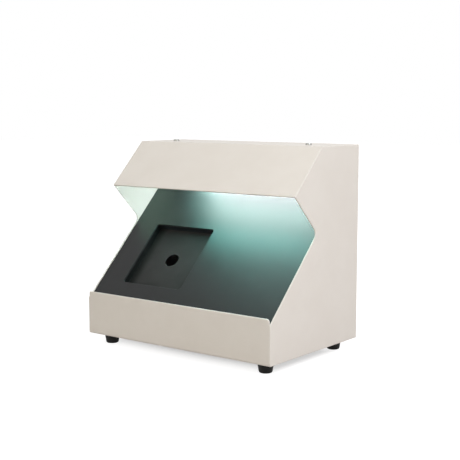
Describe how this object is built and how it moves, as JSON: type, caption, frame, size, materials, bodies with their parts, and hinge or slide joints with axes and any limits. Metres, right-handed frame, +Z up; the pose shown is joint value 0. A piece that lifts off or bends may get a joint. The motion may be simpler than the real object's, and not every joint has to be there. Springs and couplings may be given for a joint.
{
  "type": "inspection light cabinet",
  "caption": "Bench viewing cabinet of painted sheet metal: lamp under a sloping hood, open front, dark sloping bed with a square sample recess, rubber feet.",
  "frame": {"origin": "centre of the footprint on the surface that the feet stand on", "axes": "+X to the right seen from the front, +Y to the back, +Z up"},
  "size_m": [0.3, 0.1983, 0.2716],
  "materials": {
    "cabinet_paint": "warm light grey powder coat, fine texture, satin",
    "bed_coat": "dark grey satin coat",
    "zinc_plate": "zinc-plated steel",
    "reflector_white": "white gloss enamel",
    "holder_plastic": "white moulded plastic",
    "tube_glass": "coated glass of a fluorescent tube",
    "cap_metal": "drawn aluminium",
    "contact_brass": "plain brass",
    "black_plastic": "black moulded plastic, fine texture",
    "rocker_plastic": "black gloss plastic",
    "foot_rubber": "black rubber",
    "ballast_coat": "grey painted steel case",
    "fuse_glass": "clear glass",
    "live_insulation": "brown wire insulation",
    "neutral_insulation": "blue wire insulation",
    "earth_insulation": "green and yellow wire insulation",
    "lamp_insulation": "white wire insulation"
  },
  "bodies": {
    "cabinet": {"left_side_panel": "cabinet_paint", "right_side_panel": "cabinet_paint", "hood_top_panel": "cabinet_paint", "base_tray": "cabinet_paint", "rear_frame": "cabinet_paint", "rear_cover": "cabinet_paint", "rear_cover_screws": "zinc_plate", "rear_cover_nuts": "zinc_plate", "bed_panel": "bed_coat", "recess_tray": "bed_coat", "bed_rail_left": "zinc_plate", "bed_rail_right": "zinc_plate", "bed_studs": "zinc_plate", "bed_nuts": "zinc_plate", "lamp_reflector": "reflector_white", "lamp_holder_left": "holder_plastic", "lamp_holder_right": "holder_plastic", "holder_inserts": "contact_brass", "top_screws": "zinc_plate", "foot_front_left": "foot_rubber", "foot_front_right": "foot_rubber", "foot_rear_left": "foot_rubber", "foot_rear_right": "foot_rubber", "foot_washers": "zinc_plate", "foot_screws": "zinc_plate", "foot_nuts": "zinc_plate", "inlet_body": "black_plastic", "inlet_blades": "contact_brass", "inlet_screws": "zinc_plate", "inlet_nuts": "zinc_plate", "switch_body": "black_plastic", "switch_tags": "contact_brass", "ballast_case": "ballast_coat", "ballast_terminals": "holder_plastic", "ballast_screws": "zinc_plate", "ballast_nuts": "zinc_plate", "earth_stud": "zinc_plate", "earth_ring": "contact_brass", "earth_nut": "zinc_plate", "live_lead": "live_insulation", "neutral_lead": "neutral_insulation", "earth_lead": "earth_insulation", "switched_leads": "live_insulation", "lamp_leads_left": "lamp_insulation", "lamp_leads_right": "lamp_insulation"},
    "tube": {"tube_glass": "tube_glass", "tube_cap_left": "cap_metal", "tube_cap_right": "cap_metal", "lamp_rotor_left": "holder_plastic", "lamp_rotor_right": "holder_plastic"},
    "rocker": {"switch_rocker": "rocker_plastic"},
    "drawer": {"fuse_drawer": "black_plastic", "fuse_glass": "fuse_glass", "fuse_caps": "contact_brass"}
  },
  "joints": [
    {"name": "tube_twist", "type": "hinge", "parent": "cabinet", "child": "tube", "pos_m": [0, 0.03931, 0.2457], "axis": [1, 0, 0], "range_deg": [0, 90]},
    {"name": "rocker_tilt", "type": "hinge", "parent": "cabinet", "child": "rocker", "pos_m": [0.038, 0.093, 0.064], "axis": [-1, 0, 0], "range_deg": [0, 20]},
    {"name": "fuse_drawer_slide", "type": "slide", "parent": "cabinet", "child": "drawer", "axis": [0, 1, 0], "range_m": [0, 0.022]}
  ]
}
